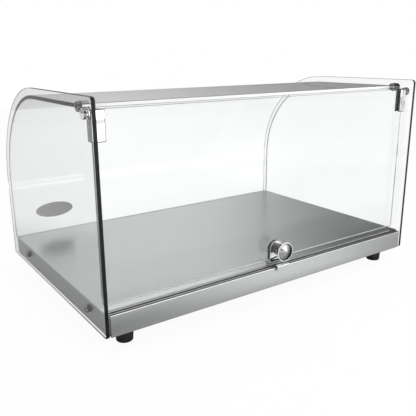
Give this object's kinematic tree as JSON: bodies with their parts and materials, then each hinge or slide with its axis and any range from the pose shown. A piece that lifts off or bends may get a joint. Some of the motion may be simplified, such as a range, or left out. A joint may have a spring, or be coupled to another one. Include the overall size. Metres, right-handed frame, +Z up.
{
  "type": "bakery display case",
  "caption": "Countertop display case for baked goods: bent glass, flat side glasses, lift-up glass door with clamp hinges and round knob, steel base on rubber feet.",
  "frame": {"origin": "on the table under the middle of the overall box", "axes": "+X along the case's width, +Y towards the customer's side with the bent glass, +Z up; the door is on the -Y side"},
  "size_m": [0.5686, 0.3796, 0.3086],
  "materials": {
    "brushed_stainless": "satin brushed stainless sheet",
    "zinc_sheet": "plain stainless sheet, duller",
    "polished_chrome": "polished chrome plate",
    "clear_glass": "clear, polished edges",
    "black_rubber": "matt moulded rubber",
    "steel_fastener": "plated steel",
    "grey_nylon": "moulded nylon",
    "clear_silicone": "translucent strip"
  },
  "bodies": {
    "cabinet": {"base_pan": "zinc_sheet", "cap_gasket_left": "grey_nylon", "cap_gasket_right": "grey_nylon", "clip_bolt_left": "polished_chrome", "clip_bolt_right": "polished_chrome", "curved_glass": "clear_glass", "curved_glass_seal": "clear_silicone", "deck_plate": "brushed_stainless", "fascia_screw_left": "steel_fastener", "fascia_screw_middle": "steel_fastener", "fascia_screw_right": "steel_fastener", "fascia_tab": "brushed_stainless", "foot_front_left": "black_rubber", "foot_front_right": "black_rubber", "foot_rear_left": "black_rubber", "foot_rear_right": "black_rubber", "foot_screw_front_left": "steel_fastener", "foot_screw_front_right": "steel_fastener", "foot_screw_rear_left": "steel_fastener", "foot_screw_rear_right": "steel_fastener", "front_fascia": "brushed_stainless", "left_side_glass": "clear_glass", "pivot_cap_left": "polished_chrome", "pivot_cap_right": "polished_chrome", "pivot_ring_left": "polished_chrome", "pivot_ring_right": "polished_chrome", "right_side_glass": "clear_glass", "side_nut_left_front": "steel_fastener", "side_nut_left_rear": "steel_fastener", "side_nut_right_front": "steel_fastener", "side_nut_right_rear": "steel_fastener", "side_screw_left_front": "steel_fastener", "side_screw_left_rear": "steel_fastener", "side_screw_right_front": "steel_fastener", "side_screw_right_rear": "steel_fastener", "side_spacer_left_front": "grey_nylon", "side_spacer_left_rear": "grey_nylon", "side_spacer_right_front": "grey_nylon", "side_spacer_right_rear": "grey_nylon", "side_washer_left_front": "grey_nylon", "side_washer_left_rear": "grey_nylon", "side_washer_right_front": "grey_nylon", "side_washer_right_rear": "grey_nylon", "top_clip_left": "polished_chrome", "top_clip_right": "polished_chrome"},
    "door": {"clamp_pad_left": "grey_nylon", "clamp_pad_right": "grey_nylon", "clamp_screw_left_lower": "steel_fastener", "clamp_screw_left_upper": "steel_fastener", "clamp_screw_right_lower": "steel_fastener", "clamp_screw_right_upper": "steel_fastener", "clip_liner": "grey_nylon", "door_glass": "clear_glass", "door_knob": "polished_chrome", "hinge_clamp_left": "polished_chrome", "hinge_clamp_right": "polished_chrome", "hinge_pin_left": "steel_fastener", "hinge_pin_right": "steel_fastener", "knob_clip": "polished_chrome", "knob_screw": "steel_fastener"}
  },
  "joints": [
    {"name": "door_hinge", "type": "hinge", "parent": "cabinet", "child": "door", "pos_m": [0, -0.1622, 0.2896], "axis": [-1, 0, 0], "range_deg": [0, 200]}
  ]
}
